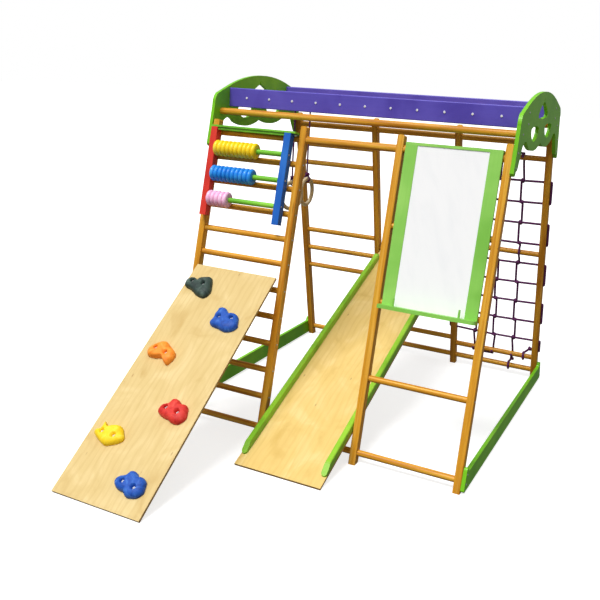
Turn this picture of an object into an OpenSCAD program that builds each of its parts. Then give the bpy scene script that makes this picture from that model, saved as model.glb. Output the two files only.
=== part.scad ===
// Toddler climbing frame with a slide: three bays between four pairs of leaning posts.
// X runs along the frame, Y from the slide's foot to the back, Z up from the floor.

/* [Frame] */
// Spacing of the posts along the frame
bay = 467; // [462:1:472]
// Width of a post
post_w = 32; // [31:1:32]
// Depth of a post
post_d = 40; // [39:1:40]
// Height of the post tops
post_top = 1400; // [1395:1:1405]
// Distance from the middle of the frame to the outer edge of a foot
foot_half = 765; // [760:1:770]
// Lean of the posts from upright
lean = 13; // [12.8:0.1:13.2]
// Thickness of the end plates and base rails
board_t = 16; // [15:1:18]

/* [Bars and rungs] */
// Diameter of a rung
rung_d = 28; // [26:1:28]
// Diameter of the two long top bars
top_bar_d = 31; // [30:1:32]
// Diameter of the pull-up bar at the front
front_bar_d = 34; // [32:1:36]
// Diameter of the bar that ties the rear posts
rear_bar_d = 31; // [28:1:32]
// Height of the uppermost rungs
first_z = 1344; // [1340:1:1348]
// Spacing of the upper rungs of the front ladder
upper_pitch = 112; // [110:1:113]
// Spacing of its lower rungs
lower_pitch = 120; // [119:1:121]
// Height of the lowest front rung
lowest_z = 48; // [46:1:52]
// Height of the rung that carries the slide
slide_rung_z = 655; // [654:0.5:655]

/* [Overhead ladder] */
// Number of overhead rungs
monkey_count = 11; // [9:2:11]
// Spacing of the overhead rungs
monkey_pitch = 124; // [122:1:126]
// Height of the overhead rungs
monkey_z = 1505; // [1500:1:1508]
// Outer face of each plank, measured from the middle
plank_y = 302; // [300:1:304]
// Height of a plank
plank_h = 90; // [86:2:92]
// Thickness of a plank
plank_t = 18; // [18:1:20]

/* [Slide] */
// Width of the slide
slide_w = 408; // [400:2:408]
// Slope of the slide
slide_angle = 22.4; // [22.4:0.1:22.4]
// How far its foot stands in front of the feet of the frame
slide_reach = 270; // [270:1:270]
// Thickness of the slide's board
slide_t = 11; // [10:1:12]
// Height of a side rail above the board
rail_h = 33; // [30:1:40]
// Width of a side rail
rail_w = 26; // [22:1:28]

/* [Climbing ramp] */
// Width of the ramp
ramp_w = 428; // [420:2:428]
// Length of the ramp
ramp_len = 1234; // [1230:1:1238]
// Slope of the ramp
ramp_angle = 35.6; // [35.4:0.1:35.8]
// How far its foot stands in front of the feet of the frame
ramp_reach = 841; // [836:1:846]
// Thickness of the ramp's board
ramp_t = 12; // [12:1:14]

/* [Abacus] */
// Diameter of a bead
bead_d = 75; // [64:1:75]
// Thickness of a bead
bead_t = 22.5; // [20:0.5:22.5]
// Diameter of a bead rod
rod_d = 24; // [20:1:24]

/* [Rings and net] */
// Outside diameter of a hand ring
ring_od = 160; // [150:2:170]
// Thickness of a hand ring
ring_t = 21; // [18:1:22]
// Height of a ring's centre
ring_z = 1008; // [1000:1:1020]
// Thickness of the ring cords
cord_d = 9; // [8:0.5:10]
// Thickness of the net's rope
rope_d = 9; // [7:0.5:9]
// Height of the net's top row
net_top = 1148; // [1144:1:1150]
// Spacing of the net's rows
net_pitch = 113.7; // [113:0.1:114]

/* [Hidden] */
wood = [0.86, 0.58, 0.20];
green = [0.45, 0.72, 0.18];
frame_green = [0.57, 0.80, 0.36];
purple = [0.36, 0.30, 0.72];
rope = [0.28, 0.14, 0.34];
ply = [0.92, 0.80, 0.52];
steel = [0.80, 0.81, 0.83];
$fn = 48;

frame_w = 3 * bay + post_w;
socket = 12;          // depth of the blind holes that hold the rungs
fit = 0.3;            // play between a wooden bar and its hole, on the diameter
end_gap = 0.5;        // room behind the end of a rung
mid = post_d / 2;     // the bars run through the middle of the posts
spigot_d = 22;        // turned end of a thick bar
screw_d = 4;
screw_play = 0.4;
head_d = 9;
head_h = 2.5;
pilot = 20;           // how far a screw runs into the end of a bar

front_depth = foot_half + ramp_reach + ramp_t * sin(ramp_angle);
y_shift = (front_depth - foot_half) / 2;

upper_z = [for (k = [0:5]) first_z - k * upper_pitch];
lower_z = [for (k = [1:5]) upper_z[5] - k * lower_pitch];
front_left_z = concat(upper_z, lower_z, [lowest_z]);
front_right_z = [1020, 695, 370, lowest_z];
rear_left_z = [1232, 1124, 1008, 708, 594, 480, 54];
rear_middle_z = [slide_rung_z, 163, 54];
rear_right_z = [1266, 751, 131, 54];
net_rows = 9;
net_holes_z = [for (k = [0:net_rows - 1]) net_top - k * net_pitch];
plate_screw_z = [1369, 1309];
rail_screw_z = [38, 78];

function post_x(i) = i * bay;
// Distance up a post at which its middle line reaches height z, at depth d from its outer face.
function up(z, d = mid) = (z + d * sin(lean)) / cos(lean);
// Place of a post's middle line, seen from the end, at height z.
function mid_y(z) = -foot_half + mid * cos(lean) + up(z) * sin(lean);
// Heights at which the end of a rung has a screw: not behind the end plates or the base rails.
function screwed(list) = [for (z = list) if (z > 110 && z < 1260) z];
function arc(c, r, a0, a1, n = 6) =
    [for (i = [0:n]) let (a = a0 + (a1 - a0) * i / n) [c.x + r * cos(a), c.y + r * sin(a)]];
function rounded(w, d, r) = concat(
    arc([w - r, d - r], r, 0, 90, 4), arc([r, d - r], r, 90, 180, 4),
    arc([r, r], r, 180, 270, 4), arc([w - r, r], r, 270, 360, 4));
function mirrored(half) = concat(half, [for (i = [len(half) - 1:-1:0]) [-half[i].x, half[i].y]]);

module place() translate([-frame_w / 2, y_shift, 0]) children();
// Frame of the front ladder: Y goes into the posts from their outer faces, Z runs up them.
module front() translate([0, -foot_half, 0]) rotate([-lean, 0, 0]) children();
module rear() mirror([0, 1, 0]) front() children();
// A round bar along X.
module bar(x0, x1, d) translate([x0, 0, 0]) rotate([0, 90, 0]) cylinder(d = d, h = x1 - x0);
module bar_at(x0, x1, z, d, depth = mid) translate([0, depth, up(z, depth)]) bar(x0, x1, d);
// A plate drawn in Y and Z, with its thickness along X.
module side_plate(points, t) rotate([90, 0, 90]) linear_extrude(t) polygon(points);

// ---- posts -------------------------------------------------------------
post_len = up(post_top) + 2;

module post_blank(i) {
    corner = 4;
    top_round = 9;
    intersection() {
        translate([post_x(i), 0, -20]) linear_extrude(post_len + 20)
            polygon(rounded(post_w, post_d, corner));
        translate([post_x(i), post_d, -20]) rotate([90, 0, 0]) linear_extrude(post_d)
            polygon(concat([[0, 0], [post_w, 0]],
                arc([post_w - top_round, post_len + 20 - top_round], top_round, 0, 90),
                arc([top_round, post_len + 20 - top_round], top_round, 90, 180)));
    }
}

// Holes in a post: sockets for bars from its left and right, screws, and the net's rope.
module post_holes(i, from_left, from_right, screws_left, screws_right, row_holes) {
    x = post_x(i);
    for (b = from_left) bar_at(x - 1, x + socket, b[0], b[1] + fit);
    for (b = from_right) bar_at(x + post_w - socket, x + post_w + 1, b[0], b[1] + fit);
    for (z = screws_left) bar_at(x - 1, x + post_w - socket + 1, z, screw_d + screw_play);
    for (z = screws_right) bar_at(x + socket - 1, x + post_w + 1, z, screw_d + screw_play);
    for (z = row_holes) bar_at(x - 1, x + post_w + 1, z, rope_d + 2);
}

module above_floor() {
    intersection() {
        children();
        translate([-50, -foot_half - 50, 0]) cube([frame_w + 100, 2 * foot_half + 100, 1600]);
    }
}

function sockets(list, d = rung_d) = [for (z = list) [z, d]];

module front_post(i, from_left, from_right, screws_left, screws_right)
    color(wood) place() above_floor() front() difference() {
        post_blank(i);
        post_holes(i, from_left, from_right, screws_left, screws_right, []);
    }

module rear_post(i, from_left, from_right, screws_left, screws_right, row_holes)
    color(wood) place() above_floor() rear() difference() {
        post_blank(i);
        post_holes(i, from_left, from_right, screws_left, screws_right, row_holes);
    }

end_screws = concat(plate_screw_z, rail_screw_z);
thick_bar = [[first_z, spigot_d]];

module post_front_1() front_post(0, [], sockets(front_left_z),
    concat(screwed(front_left_z), end_screws), []);
module post_front_2() front_post(1, sockets(front_left_z), concat(thick_bar, sockets([lowest_z])),
    [], screwed(front_left_z));
module post_front_3() front_post(2, concat(thick_bar, sockets([lowest_z])),
    concat(thick_bar, sockets(front_right_z)), screwed(front_right_z), []);
module post_front_4() front_post(3, concat(thick_bar, sockets(front_right_z)), [],
    [], concat(screwed(front_right_z), end_screws));
module post_rear_1() rear_post(0, [], concat(thick_bar, sockets(rear_left_z)),
    concat(screwed(rear_left_z), end_screws), [], []);
module post_rear_2() rear_post(1, concat(thick_bar, sockets(rear_left_z)),
    concat(thick_bar, sockets(rear_middle_z)), screwed(rear_middle_z), screwed(rear_left_z), []);
module post_rear_3() rear_post(2, concat(thick_bar, sockets(rear_middle_z)),
    concat(thick_bar, sockets(rear_right_z)), screwed(rear_right_z), screwed(rear_middle_z), net_holes_z);
module post_rear_4() rear_post(3, concat(thick_bar, sockets(rear_right_z)), [],
    [], concat(screwed(rear_right_z), end_screws), concat(net_holes_z, [tail_z]));

// ---- bars and rungs ----------------------------------------------------
// A rung across bay b, with its ends in their sockets.
module rung(b, z, pilots) {
    x0 = post_x(b) + post_w - socket + end_gap;
    x1 = post_x(b + 1) + socket - end_gap;
    difference() {
        bar_at(x0, x1, z, rung_d);
        if (pilots) {
            bar_at(x0 - 1, x0 + pilot, z, screw_d + screw_play);
            bar_at(x1 - pilot, x1 + 1, z, screw_d + screw_play);
        }
    }
}
// A thick bar across bay b: it meets the posts squarely and only its spigots enter them.
module thick_bar(b, d) {
    bar_at(post_x(b) + post_w + 0.1, post_x(b + 1) - 0.1, first_z, d);
    bar_at(post_x(b) + post_w - socket + end_gap, post_x(b + 1) + socket - end_gap, first_z, spigot_d);
}

module rungs(b, list) for (z = list) rung(b, z, len(screwed([z])) > 0);

module pull_up_bar() color(wood) place() front() for (b = [1, 2]) thick_bar(b, front_bar_d);
module rear_tie_bar() color(wood) place() rear() for (b = [0:2]) thick_bar(b, rear_bar_d);
module rungs_front_left() color(wood) place() front() rungs(0, front_left_z);
module rungs_front_right() color(wood) place() front() {
    rungs(1, [lowest_z]);
    rungs(2, front_right_z);
}
module rungs_rear_left() color(wood) place() rear() rungs(0, rear_left_z);
module rungs_rear_middle() color(wood) place() rear() rungs(1, rear_middle_z);
module rungs_rear_right() color(wood) place() rear() rungs(2, rear_right_z);

// ---- top bars, planks and overhead rungs -------------------------------
top_bar_y = 374;
top_bar_z = 1441;
plank_screw_z = [1479, 1526];
plank_bottom = monkey_z - plank_h / 2;

module top_bar(side) color(wood) place() translate([0, side * top_bar_y, top_bar_z]) difference() {
    bar(0, frame_w, top_bar_d);
    bar(-1, pilot, screw_d + screw_play);
    bar(frame_w - pilot, frame_w + 1, screw_d + screw_play);
}
module top_bar_front() top_bar(-1);
module top_bar_rear() top_bar(1);

function monkey_x(k) = frame_w / 2 + (k - (monkey_count - 1) / 2) * monkey_pitch;
module along_y(x, y0, y1, z, d) translate([x, y0, z]) rotate([-90, 0, 0]) cylinder(d = d, h = y1 - y0);

plank_socket = 9;
module plank() difference() {
    corner = 4;
    rotate([90, 0, 90]) linear_extrude(frame_w) translate([plank_y - plank_t, plank_bottom])
        polygon(rounded(plank_t, plank_h, corner));
    for (k = [0:monkey_count - 1]) {
        along_y(monkey_x(k), plank_y - plank_t - 1, plank_y - plank_t + plank_socket, monkey_z, rung_d + fit);
        along_y(monkey_x(k), plank_y - plank_t, plank_y + 1, monkey_z, screw_d + screw_play);
    }
    for (z = plank_screw_z) translate([0, plank_y - plank_t / 2, z]) {
        bar(-1, pilot, screw_d + screw_play);
        bar(frame_w - pilot, frame_w + 1, screw_d + screw_play);
    }
}
module plank_front() color(purple) place() mirror([0, 1, 0]) plank();
module plank_rear() color(purple) place() plank();

monkey_end = plank_y - plank_t + plank_socket - end_gap;
module monkey_rungs() color(wood) place() for (k = [0:monkey_count - 1]) difference() {
    along_y(monkey_x(k), -monkey_end, monkey_end, monkey_z, rung_d);
    along_y(monkey_x(k), -monkey_end - 1, -monkey_end + pilot, monkey_z, screw_d + screw_play);
    along_y(monkey_x(k), monkey_end - pilot, monkey_end + 1, monkey_z, screw_d + screw_play);
}

// ---- end plates and base rails -----------------------------------------
// Outer edge of an end plate's leg: it follows the post's outer face.
function leg_y(z) = foot_half - z * tan(lean) + 8;
plate_apex = 1608;
leg_bottom = 1276;
crown_r = 989;
shoulder_r = 58;

plate_half = concat(
    // lobe beside the middle, then the notch between lobe and leg
    [[0, 1384]], arc([130, 1687], 330, -112, -71, 8), arc([312, 1340], 68, 140, 14, 8),
    // leg, rounded at its foot
    [[412, 1300]], arc([leg_y(leg_bottom) - 22, leg_bottom + 20], 20, 190, 345, 6),
    // outer side, shoulder and crown
    [[leg_y(1380), 1380], [leg_y(1450), 1450]],
    arc([leg_y(1478) - shoulder_r, 1478], shoulder_r, 0, 55, 6),
    [for (y = [330:-55:0]) [y, plate_apex - crown_r + sqrt(crown_r * crown_r - y * y)]]);

// Onion-shaped window with a narrow tip.
onion_half = concat(
    [[0, 1486]], arc([42, 1520], 30, -110, -60, 4), arc([82, 1506], 14, -70, 60, 5),
    [[60, 1540], [26, 1556], [6, 1564], [3, 1578]]);
// Window under it: nearly straight above and bowed below.
eye = concat([for (a = [180:15:360]) [142 + 76 * cos(a), 1450 + 52 * sin(a)]],
    [for (a = [20:20:160]) [142 + 74 * cos(a), 1451 + 12 * sin(a)]]);

module end_plate(x, outer_x) color(green) place() difference() {
    translate([x, 0, 0]) side_plate(mirrored(plate_half), board_t);
    translate([x - 1, 0, 0]) side_plate(mirrored(onion_half), board_t + 2);
    for (s = [0, 1]) mirror([0, s, 0]) {
        translate([x - 1, 0, 0]) side_plate(eye, board_t + 2);
        plate_screw_places() bar(x - 1, x + board_t + 1, screw_d + screw_play);
    }
}
// The screws through one half of an end plate: into the post, the top bar and the plank.
module plate_screw_places() {
    for (z = plate_screw_z) translate([0, mid_y(z), z]) children();
    translate([0, -top_bar_y, top_bar_z]) children();
    for (z = plank_screw_z) translate([0, -plank_y + plank_t / 2, z]) children();
}
module end_plate_left() end_plate(-board_t);
module end_plate_right() end_plate(frame_w);

rail_bottom = 8;
rail_top = 86;
tab_top = 108;
function edge_y(z) = foot_half - z * tan(lean) - 1;
rail_half = concat(
    [[0, rail_bottom]], arc([edge_y(12) - 12, rail_bottom + 12], 12, 270, 350, 4),
    arc([edge_y(tab_top) - 14, tab_top - 13], 13, 10, 170, 6),
    arc([edge_y(tab_top) - 43, rail_top + 16], 16, 350, 270, 4), [[0, rail_top]]);

module base_rail(x) color(green) place() difference() {
    translate([x, 0, 0]) side_plate(mirrored(rail_half), board_t);
    for (s = [0, 1]) mirror([0, s, 0]) for (z = rail_screw_z)
        translate([0, mid_y(z), z]) bar(x - 1, x + board_t + 1, screw_d + screw_play);
}
module base_rail_left() base_rail(-board_t);
module base_rail_right() base_rail(frame_w);

// ---- screws ------------------------------------------------------------
// A screw along X with its head at x = 0, driven towards +X or -X.
module screw(dir, length) rotate([0, 90 * dir, 0]) {
    cylinder(d = screw_d, h = length);
    translate([0, 0, -head_h]) cylinder(d1 = head_d - 3, d2 = head_d, h = head_h);
}
screw_len = post_w - socket + pilot - 4;

module ladder_screws(b, list) for (z = screwed(list)) {
    translate([post_x(b), mid, up(z)]) screw(1, screw_len);
    translate([post_x(b + 1) + post_w, mid, up(z)]) screw(-1, screw_len);
}
module rung_screws() color(steel) place() {
    front() {
        ladder_screws(0, front_left_z);
        ladder_screws(2, front_right_z);
    }
    rear() {
        ladder_screws(0, rear_left_z);
        ladder_screws(1, rear_middle_z);
        ladder_screws(2, rear_right_z);
    }
}
module plank_screws() color("white") place() for (s = [0, 1], k = [0:monkey_count - 1])
    mirror([0, s, 0]) translate([monkey_x(k), plank_y, monkey_z]) rotate([90, 0, 0]) {
        cylinder(d = screw_d, h = plank_t + 8);
        translate([0, 0, -head_h]) cylinder(d1 = head_d, d2 = head_d + 2, h = head_h);
    }
module frame_screws() color(steel) place() for (s = [0, 1]) mirror([0, s, 0]) {
    for (side = [0, 1]) {
        x = side == 0 ? -board_t : frame_w + board_t;
        dir = side == 0 ? 1 : -1;
        plate_screw_places() translate([x, 0, 0]) screw(dir, board_t + pilot - 6);
        for (z = rail_screw_z) translate([x, mid_y(z), z]) screw(dir, board_t + pilot - 6);
    }
}

// ---- climbing net ------------------------------------------------------
// A tube round a route of [x, z] points in the plane of the posts. A third number in a point
// moves it towards the middle of the frame.
function unit(v) = v / norm(v);
function turn(v) = [-v.y, v.x];
function bend(p, i) =
    let (a = unit(p[min(i + 1, len(p) - 1)] - p[min(i, len(p) - 2)]),
         b = unit(p[max(i, 1)] - p[max(i - 1, 0)]),
         t = unit(a + b))
    turn(t) / max(0.5, t * a);
module tube(route, d, n = 6) {
    p = [for (v = route) [v.x, v.y]];
    side = [for (i = [0:len(p) - 1]) bend(p, i)];
    points = [for (i = [0:len(p) - 1]) for (j = [0:n - 1])
        let (a = 360 * (j + 0.5) / n, v = p[i] + side[i] * cos(a) * d / 2)
        [v.x, sin(a) * d / 2 + (len(route[i]) > 2 ? route[i].z : 0), v.y]];
    faces = concat(
        [[for (j = [n - 1:-1:0]) j]], [[for (j = [0:n - 1]) (len(p) - 1) * n + j]],
        [for (i = [0:len(p) - 2]) for (j = [0:n - 1])
            [i * n + j, i * n + (j + 1) % n, (i + 1) * n + (j + 1) % n, (i + 1) * n + j]]);
    polyhedron(points, faces);
}

net_left = post_x(2);
net_right = post_x(3) + post_w;
net_x = [1074, 1183, 1293];
wrap = rope_d / 2 + 3.2;         // the rope goes round the posts clear of the screw heads
tail_z = 178;                   // the last end comes back through the right post here
// One row of the net, from the left post to the right one, sagging a little between the knots.
function row(k) = let (z = up(net_holes_z[k])) [
    [net_left - wrap, z], [net_left + post_w + 6, z], [net_x[0], z - 3], [net_x[1], z - 5],
    [net_x[2], z - 3], [net_right - post_w - 6, z], [net_right + wrap, z]];
function backwards(p) = [for (i = [len(p) - 1:-1:0]) p[i]];
// The rows are one rope that goes back and forth through the posts.
net_rung_z = [rear_right_z[0], rear_right_z[2]];
loop_r = (rung_d + rope_d) / 2 + 0.8;
tie_x = 1354;
net_route = concat([for (k = [0:net_rows - 1]) each (k % 2 == 0 ? row(k) : backwards(row(k)))],
    [[net_right + wrap, up(tail_z)], [net_right - post_w - 6, up(tail_z)], [tie_x + 34, up(tail_z) + 5],
     [tie_x + 4, up(net_rung_z[1]) + loop_r + 2]]);
function sway(i, k) = (i + k) % 2 == 0 ? 5 : -5;
// The hanging ropes pass in front of the middle rung, below row 4.
past_rung = (rung_d + rope_d) / 2 + 1;
function detour(i) = let (z = up(rear_right_z[1]), x = net_x[i] - sway(i, 3))
    [for (s = [1, -1], q = s > 0 ? [[38, 0], [24, 0.65], [10, 1]] : [[10, 1], [24, 0.65], [38, 0]])
        [x, z + s * q[0], q[1] * past_rung]];
function hanging(i) = concat(
    [[net_x[i], up(net_rung_z[0]) - rung_d / 2 - 4]],
    [for (k = [0:net_rows - 1]) let (z = up(net_holes_z[k]) - (i == 1 ? 5 : 3))
        each concat([[net_x[i] + sway(i, k), z + 14], [net_x[i], z], [net_x[i] - sway(i, k), z - 14]],
            k == 3 ? detour(i) : [])],
    [[net_x[i], up(net_rung_z[1]) + rung_d / 2 + 4]]);

module rope_loop(x, z) translate([x, 0, up(z)]) rotate([0, 90, 0])
    rotate_extrude($fn = 16) translate([loop_r, 0]) circle(d = rope_d, $fn = 6);
module knot(x, s) translate([x, 0, s]) sphere(d = rope_d * 2, $fn = 8);

module climbing_net() color(rope) place() rear() translate([0, mid, 0]) {
    tube(net_route, rope_d);
    for (i = [0:2]) {
        tube(hanging(i), rope_d);
        for (z = net_rung_z) rope_loop(net_x[i], z);
        for (k = [0:net_rows - 1]) knot(net_x[i], up(net_holes_z[k]) - (i == 1 ? 5 : 3));
    }
    // ends of the hanging ropes, laid along the top and bottom rungs
    tube([[net_x[0] - 54, up(net_rung_z[0]) + loop_r], [net_x[0] + 10, up(net_rung_z[0]) + loop_r]], rope_d);
    tube([[net_x[2] - 24, up(net_rung_z[0]) + loop_r], [net_x[2] + 8, up(net_rung_z[0]) + loop_r]], rope_d);
    tube([[net_x[1] - 58, up(net_rung_z[1]) - loop_r], [net_x[1] + 4, up(net_rung_z[1]) - loop_r]], rope_d);
    // tie to the lowest rung, and the knotted end beside the right post
    tube([[net_x[2] - 2, up(net_rung_z[1]) - loop_r], [net_x[2] - 2, up(99)],
        [net_x[2] - 19, up(rear_right_z[3]) + loop_r]], rope_d);
    knot(net_x[2] - 2, up(99));
    rope_loop(net_x[2] - 19, rear_right_z[3]);
    knot(tie_x + 34, up(tail_z) + 5);
    rope_loop(tie_x, net_rung_z[1]);
}

// ---- abacus ------------------------------------------------------------
abacus_w = 35;        // width of an upright
abacus_d = 38;        // depth of an upright
abacus_front = -39;   // its front face, measured from the front of the posts
red_x = 17;
blue_x = 408;
rod_y = -27;
rod_s = [1304, 1185, 1066];
first_s = up(first_z);
abacus_batten = 4;
abacus_board = 8.5;
abacus_rest = first_s + rung_d / 2 + 0.2;
abacus_bottom = 982;
tenon_d = 12;
tenon = 20;

module abacus_top() color(green) place() front() {
    shelf = abacus_rest + abacus_batten;
    lip_y = mid + rung_d / 2 + 1;
    difference() {
        union() {
            translate([red_x - 1, abacus_front, shelf]) cube([449, abacus_d, abacus_board]);
            translate([post_w + 3, -2, shelf]) cube([bay - post_w - 6, lip_y + 14, abacus_board]);
            // batten between the uprights
            translate([red_x + abacus_w + 0.2, -32, shelf - 12]) cube([blue_x - red_x - abacus_w - 0.4, 30, 12.1]);
            // lip behind the rung
            translate([70, lip_y, abacus_rest - 20]) cube([325, 12, 20 + abacus_batten + 0.1]);
        }
        for (x = [red_x, blue_x]) translate([x + abacus_w / 2, abacus_front + abacus_d / 2, shelf - 1])
            cylinder(d = screw_d + screw_play, h = abacus_board + 2);
    }
}

module abacus_post(x, inner) difference() {
    corner = 3;
    translate([x, abacus_front, abacus_bottom])
        linear_extrude(abacus_rest + abacus_batten - abacus_bottom - 0.1)
        polygon(rounded(abacus_w, abacus_d, corner));
    for (s = rod_s) translate([0, rod_y, s]) {
        bar(x + (inner > 0 ? abacus_w - tenon : -1), x + (inner > 0 ? abacus_w + 1 : tenon), tenon_d + fit);
        bar(x - 1, x + abacus_w + 1, screw_d + screw_play);
    }
    translate([x + abacus_w / 2, abacus_front + abacus_d / 2, abacus_rest - 22])
        cylinder(d = screw_d + screw_play, h = 40);
}
module abacus_post_red() color([0.86, 0.28, 0.22]) place() front() abacus_post(red_x, 1);
module abacus_post_blue() color([0.18, 0.42, 0.82]) place() front() abacus_post(blue_x, -1);

rod_left = red_x + abacus_w + 0.2;
rod_right = blue_x - 0.2;
module abacus_rods() color(green) place() front() for (s = rod_s) translate([0, rod_y, s]) difference() {
    union() {
        bar(rod_left, rod_right, rod_d);
        bar(rod_left - tenon + 1, rod_right + tenon - 1, tenon_d);
    }
    bar(rod_left - tenon, rod_left + 6, screw_d + screw_play);
    bar(rod_right - 6, rod_right + tenon, screw_d + screw_play);
}
module abacus_screws() color(steel) place() front() {
    for (s = rod_s) translate([0, rod_y, s]) {
        translate([red_x, 0, 0]) screw(1, abacus_w + 4);
        translate([blue_x + abacus_w, 0, 0]) screw(-1, abacus_w + 4);
    }
    for (x = [red_x, blue_x])
        translate([x + abacus_w / 2, abacus_front + abacus_d / 2, abacus_rest + abacus_batten + abacus_board])
        rotate([0, 90, 0]) screw(1, 30);
}

// A row of thick discs with round rims, threaded on a rod.
bead_start = red_x + abacus_w + 0.7;
module bead(x) translate([x, 0, 0]) rotate([0, 90, 0]) rotate_extrude() {
    half = bead_t / 2 - 0.1;
    bore = rod_d / 2 + 0.7;
    polygon(concat([[bore, 0], [bore + 3, -0.1]], [for (a = [-90:15:90])
        [bead_d / 2 - half + half * cos(a), half + half * sin(a)]], [[bore, 2 * half]]));
}
module beads(count, s) place() front() translate([0, rod_y, s])
    for (i = [0:count - 1]) bead(bead_start + i * bead_t);
module beads_yellow() color([0.98, 0.83, 0.10]) beads(10, rod_s[0]);
module beads_blue() color([0.10, 0.46, 0.86]) beads(10, rod_s[1]);
module beads_pink() color([0.93, 0.66, 0.84]) beads(5, rod_s[2]);

// ---- whiteboard --------------------------------------------------------
wb_left = 980;
wb_right = 1396;
wb_stile = 54;
wb_t = 12;
wb_clear = front_bar_d / 2 + 0.5;      // from the pull-up bar's axis to the faces around it
wb_back = mid - wb_clear;
wb_head = first_s + wb_clear;
wb_foot = 714;
wb_top_t = 12;

module whiteboard_top() color(frame_green) place() front() {
    translate([wb_left, wb_back - wb_t, wb_head]) cube([wb_right - wb_left, wb_t + 2 * wb_clear + 12, wb_top_t]);
    translate([wb_left, mid + wb_clear, wb_head - 24]) cube([wb_right - wb_left, 12, 24]);
}
module wb_stile(x) color(frame_green) place() front() {
    translate([x, wb_back - wb_t, wb_foot]) linear_extrude(wb_head - wb_foot - 0.1)
        polygon(rounded(wb_stile, wb_t, 2));
    // pad that leans on a rung
    translate([x + 12, wb_back - 1, up(front_right_z[0]) - 15]) cube([30, mid - rung_d / 2 - wb_back + 0.7, 30]);
}
module whiteboard_stile_left() wb_stile(wb_left);
module whiteboard_stile_right() wb_stile(wb_right - wb_stile);
module whiteboard_panel() color([0.96, 0.96, 0.96]) place() front()
    translate([wb_left + wb_stile + 0.1, wb_back - wb_t + 3, wb_foot])
        cube([wb_right - wb_left - 2 * wb_stile - 0.2, 6, wb_head - wb_foot - 0.1]);

tray_w = 429;
tray_d = 54;
tray_t = 16;
module whiteboard_tray() color(frame_green) place() front()
    translate([wb_left - 11, wb_back - tray_d, wb_foot - tray_t - 0.1]) {
        linear_extrude(tray_t) polygon(concat(arc([tray_w - 20, 20], 20, 270, 360), [[tray_w, tray_d]],
            [[0, tray_d]], arc([20, 20], 20, 180, 270)));
        // pen stops
        for (x = [72, tray_w - 72]) translate([x, 14, tray_t - 1]) cylinder(d = 9, h = 36);
    }

// ---- climbing ramp -----------------------------------------------------
ramp_x = 33;
ramp_y = -foot_half - ramp_reach;
ramp_rung_z = lower_z[0];
// A place in the Y-Z plane, seen along and across a board that starts at y0 and slopes by a.
function on_board(y, z, y0, a) = [(y - y0) * cos(a) + z * sin(a), z * cos(a) - (y - y0) * sin(a)];
ramp_rung = on_board(mid_y(ramp_rung_z), ramp_rung_z, ramp_y, ramp_angle);
bolt_d = 8;
bolt_play = 0.6;
bolt_span = 62;

// Holds in order from the top: across the ramp, up the ramp, turn of the pair of bolts.
hold_at = [[77, 1113, -6], [310, 954, 5], [103, 718, -12], [314, 460, -8], [101, 286, -4], [315, 114, -10]];

module on_ramp() translate([ramp_x, ramp_y, 0]) rotate([ramp_angle, 0, 0]) children();
module at_hold(i) translate([hold_at[i][0], hold_at[i][1], ramp_t]) rotate([0, 0, hold_at[i][2]]) children();
module bolt_places() for (x = [-bolt_span / 2, bolt_span / 2]) translate([x, 0, 0]) children();

module ramp_board() color(ply) place() on_ramp() difference() {
    cube([ramp_w, ramp_len, ramp_t]);
    for (i = [0:5]) at_hold(i) bolt_places() translate([0, 0, -ramp_t - 1])
        cylinder(d = bolt_d + bolt_play, h = ramp_t + 2);
}

// Block under a board with an open notch that drops over a rung.
module hook(x, spot, thickness, below, ahead, behind) {
    difference() {
        translate([x, spot.x - ahead, spot.y - below]) cube([thickness, ahead + behind, below - spot.y - 0.1]);
        translate([x - 1, spot.x, spot.y]) rotate([0, 90, 0]) cylinder(d = rung_d + 0.6, h = thickness + 2);
        translate([x - 1, spot.x - rung_d / 2 - 0.3, spot.y - below - 1])
            cube([thickness + 2, rung_d + 0.6, below + 1]);
    }
}
module ramp_hooks() color(green) place() on_ramp()
    for (x = [70, ramp_w - 90]) hook(x, ramp_rung, 20, 22, 34, 26);

bolt_seat = 8;
plump = 4;            // extra roundness of the holds
// A hold: two rounded lumps on a foot, with a sunk bolt through each.
module hold(i, foot, lumps) place() on_ramp() at_hold(i) difference() {
    union() {
        hull() for (p = foot) translate([p[0], p[1], 0.1]) cylinder(r = p[2] + plump, h = 9, $fn = 24);
        for (g = lumps) hull() for (p = g) translate([p[0], p[1], p[3]]) {
            sphere(r = p[2] + plump, $fn = 22);
            translate([0, 0, 0.1 - p[3]]) cylinder(r = p[2] + plump + 2, h = 3, $fn = 22);
        }
    }
    bolt_places() {
        translate([0, 0, -1]) cylinder(d = bolt_d + bolt_play, h = 60);
        translate([0, 0, bolt_seat]) cylinder(d = 15, h = 60);
        translate([0, 0, bolt_seat + 7]) cylinder(d1 = 15, d2 = 34, h = 26);
    }
    translate([-100, -100, -60]) cube([200, 200, 60.1]);
}
module hold_grey() color([0.24, 0.31, 0.29]) hold(0,
    [[-44, 6, 14], [-20, 14, 14], [44, 30, 10], [38, -20, 18], [0, -34, 20]],
    [[[-42, 6, 12, 14], [-14, 8, 13, 18]], [[22, 14, 14, 20], [40, 28, 10, 16], [10, -26, 16, 16], [34, -14, 16, 16]]]);
module hold_blue_upper() color([0.18, 0.33, 0.73]) hold(1,
    [[-44, -8, 14], [-20, 34, 16], [40, 14, 18], [34, -28, 16], [-12, -32, 16]],
    [[[-16, 30, 14, 18], [-40, -8, 12, 14], [-10, -16, 16, 18]], [[36, 10, 16, 18], [26, -22, 16, 14]]]);
module hold_orange() color([0.96, 0.57, 0.20]) hold(2,
    [[-46, 10, 14], [-44, -20, 14], [26, 38, 16], [48, -6, 12], [20, -42, 14]],
    [[[-40, 4, 14, 16], [-30, -14, 14, 14], [-8, 14, 14, 16]], [[22, 30, 14, 16], [42, -6, 12, 16], [18, -34, 12, 12]]]);
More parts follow.
